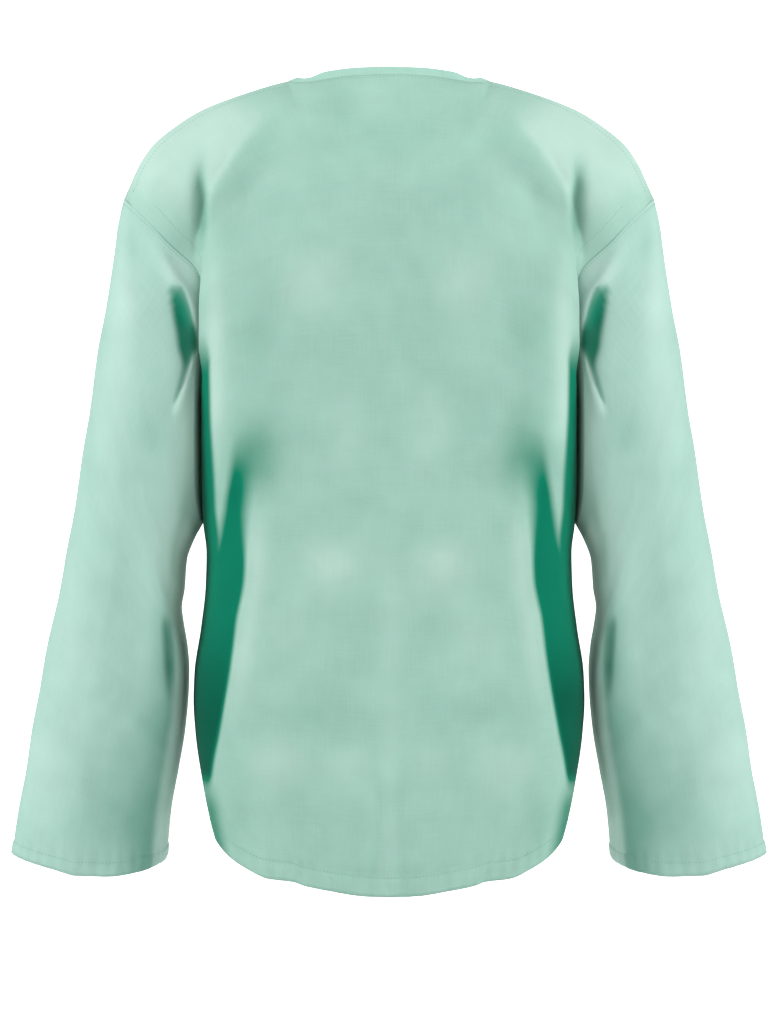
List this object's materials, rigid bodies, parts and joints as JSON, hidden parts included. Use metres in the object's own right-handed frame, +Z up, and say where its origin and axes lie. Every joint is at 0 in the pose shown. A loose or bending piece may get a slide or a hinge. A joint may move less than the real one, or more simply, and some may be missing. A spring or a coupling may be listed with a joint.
{
  "type": "patient gown",
  "caption": "Hip-length patient gown in thin mint cloth with long wide sleeves, a bound round neck and a lapped front closed by press studs, hanging as if worn.",
  "frame": {"origin": "midway between the two neck points of the shoulder seams, where the gown hangs on the wearer's shoulders", "axes": "+Z up, +Y the way the wearer faces, +X to the wearer's right; the back is at -Y"},
  "size_m": [0.726, 0.2457, 0.7635],
  "materials": {
    "body_cloth": "matte plain-weave mint cloth",
    "sleeve_cloth": "matte plain-weave mint cloth, a little lighter",
    "facing_cloth": "matte plain-weave mint cloth, doubled",
    "neck_binding": "matte bias-cut mint cloth",
    "label_tape": "white woven tape, blank",
    "press_stud": "pale plastic, satin"
  },
  "bodies": {
    "body": {"back_panel": "body_cloth", "front_left_side": "body_cloth", "front_right_side": "body_cloth", "neck_band_back": "neck_binding", "neck_label": "label_tape"},
    "front_left": {"front_left_flap": "body_cloth", "front_left_facing": "facing_cloth", "neck_band_left": "neck_binding", "press_stud_1_cap": "press_stud", "press_stud_1_socket": "press_stud", "press_stud_2_cap": "press_stud", "press_stud_2_socket": "press_stud", "press_stud_3_cap": "press_stud", "press_stud_3_socket": "press_stud", "press_stud_4_cap": "press_stud", "press_stud_4_socket": "press_stud", "press_stud_5_cap": "press_stud", "press_stud_5_socket": "press_stud"},
    "front_right": {"front_right_flap": "body_cloth", "front_right_facing": "facing_cloth", "neck_band_right": "neck_binding", "press_stud_1_stud": "press_stud", "press_stud_1_ring": "press_stud", "press_stud_2_stud": "press_stud", "press_stud_2_ring": "press_stud", "press_stud_3_stud": "press_stud", "press_stud_3_ring": "press_stud", "press_stud_4_stud": "press_stud", "press_stud_4_ring": "press_stud", "press_stud_5_stud": "press_stud", "press_stud_5_ring": "press_stud"},
    "sleeve_left": {"sleeve_left": "sleeve_cloth"},
    "sleeve_right": {"sleeve_right": "sleeve_cloth"}
  },
  "joints": [
    {"name": "sleeve_left_raise", "type": "hinge", "parent": "body", "child": "sleeve_left", "pos_m": [-0.25, 0, -0.104], "axis": [0, 1, 0], "range_deg": [0, 70]},
    {"name": "sleeve_right_raise", "type": "hinge", "parent": "body", "child": "sleeve_right", "pos_m": [0.25, 0, -0.104], "axis": [0, -1, 0], "range_deg": [0, 70]},
    {"name": "front_left_open", "type": "hinge", "parent": "body", "child": "front_left", "pos_m": [-0.0665, 0.12, -0.03], "axis": [0.1045, 0.01, 0.9945], "range_deg": [0, 100]},
    {"name": "front_right_open", "type": "hinge", "parent": "body", "child": "front_right", "pos_m": [0.0665, 0.12, -0.03], "axis": [0.1045, -0.01, -0.9945], "range_deg": [0, 50]}
  ],
  "couplings": [
    {"joint": "front_right_open", "follows": "front_left_open", "ratio": 0.5}
  ]
}
